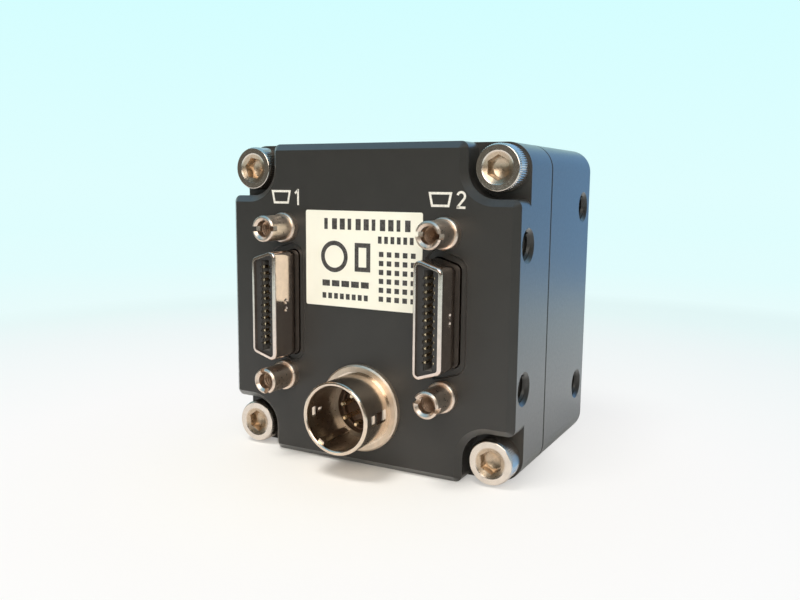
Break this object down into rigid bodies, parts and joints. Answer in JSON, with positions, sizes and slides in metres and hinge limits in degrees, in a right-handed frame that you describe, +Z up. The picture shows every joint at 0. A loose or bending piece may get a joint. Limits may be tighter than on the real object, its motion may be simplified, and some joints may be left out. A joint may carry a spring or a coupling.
{
  "type": "machine vision camera",
  "caption": "Small square industrial camera body with a threaded lens mount on the front, D-shaped video sockets and a round power socket on the rear, and tapped mounting holes on its sides.",
  "frame": {"origin": "centre of the lens mount's flange face, on the optical axis", "axes": "+Y along the optical axis towards the lens, +Z up, +X to the right seen from behind. The connector face is at -Y."},
  "size_m": [0.04, 0.0411, 0.04],
  "materials": {
    "case_black": "black anodised, satin",
    "ring_black": "black anodised, satin, turned",
    "screw_steel": "stainless steel, bright",
    "socket_nickel": "nickel plated, bright",
    "jack_nickel": "nickel plated, bright, turned",
    "contact_gold": "gold plated",
    "insert_black": "black moulded, satin",
    "insert_brown": "dark brown moulded",
    "label_white": "white film label, satin",
    "clear_glass": "coated optical glass",
    "board_green": "green circuit board",
    "chip_black": "black moulded package",
    "package_ceramic": "brown grey ceramic, matt",
    "sensor_silicon": "polished silicon",
    "gasket_rubber": "soft black rubber",
    "spacer_brass": "plated brass"
  },
  "bodies": {
    "root": {"rear_case": "case_black", "front_case": "case_black", "lens_mount_ring": "ring_black", "glass_retainer": "ring_black", "case_screw_1": "screw_steel", "case_screw_2": "screw_steel", "case_screw_3": "screw_steel", "case_screw_4": "screw_steel", "board_screws": "screw_steel", "ring_set_screws": "screw_steel", "video_shell_1": "socket_nickel", "video_shell_2": "socket_nickel", "power_shell": "socket_nickel", "power_nut": "socket_nickel", "jack_socket_1_top": "jack_nickel", "jack_socket_1_bottom": "jack_nickel", "jack_socket_2_top": "jack_nickel", "jack_socket_2_bottom": "jack_nickel", "video_contacts_1": "contact_gold", "video_contacts_2": "contact_gold", "power_pins": "contact_gold", "video_insulator_1": "insert_black", "video_insulator_2": "insert_black", "power_insulator": "insert_brown", "label": "label_white", "filter_glass": "clear_glass", "sensor_window": "clear_glass", "sensor_board": "board_green", "processor_board": "board_green", "interface_board": "board_green", "processor_chip": "chip_black", "memory_chips": "chip_black", "video_driver_chips": "chip_black", "power_inductor": "chip_black", "sensor_board_header": "chip_black", "processor_front_socket": "chip_black", "processor_rear_header": "chip_black", "interface_board_socket": "chip_black", "sensor_package": "package_ceramic", "sensor_chip": "sensor_silicon", "sensor_gasket": "gasket_rubber", "front_spacers": "spacer_brass", "board_spacers": "spacer_brass"}
  },
  "joints": []
}
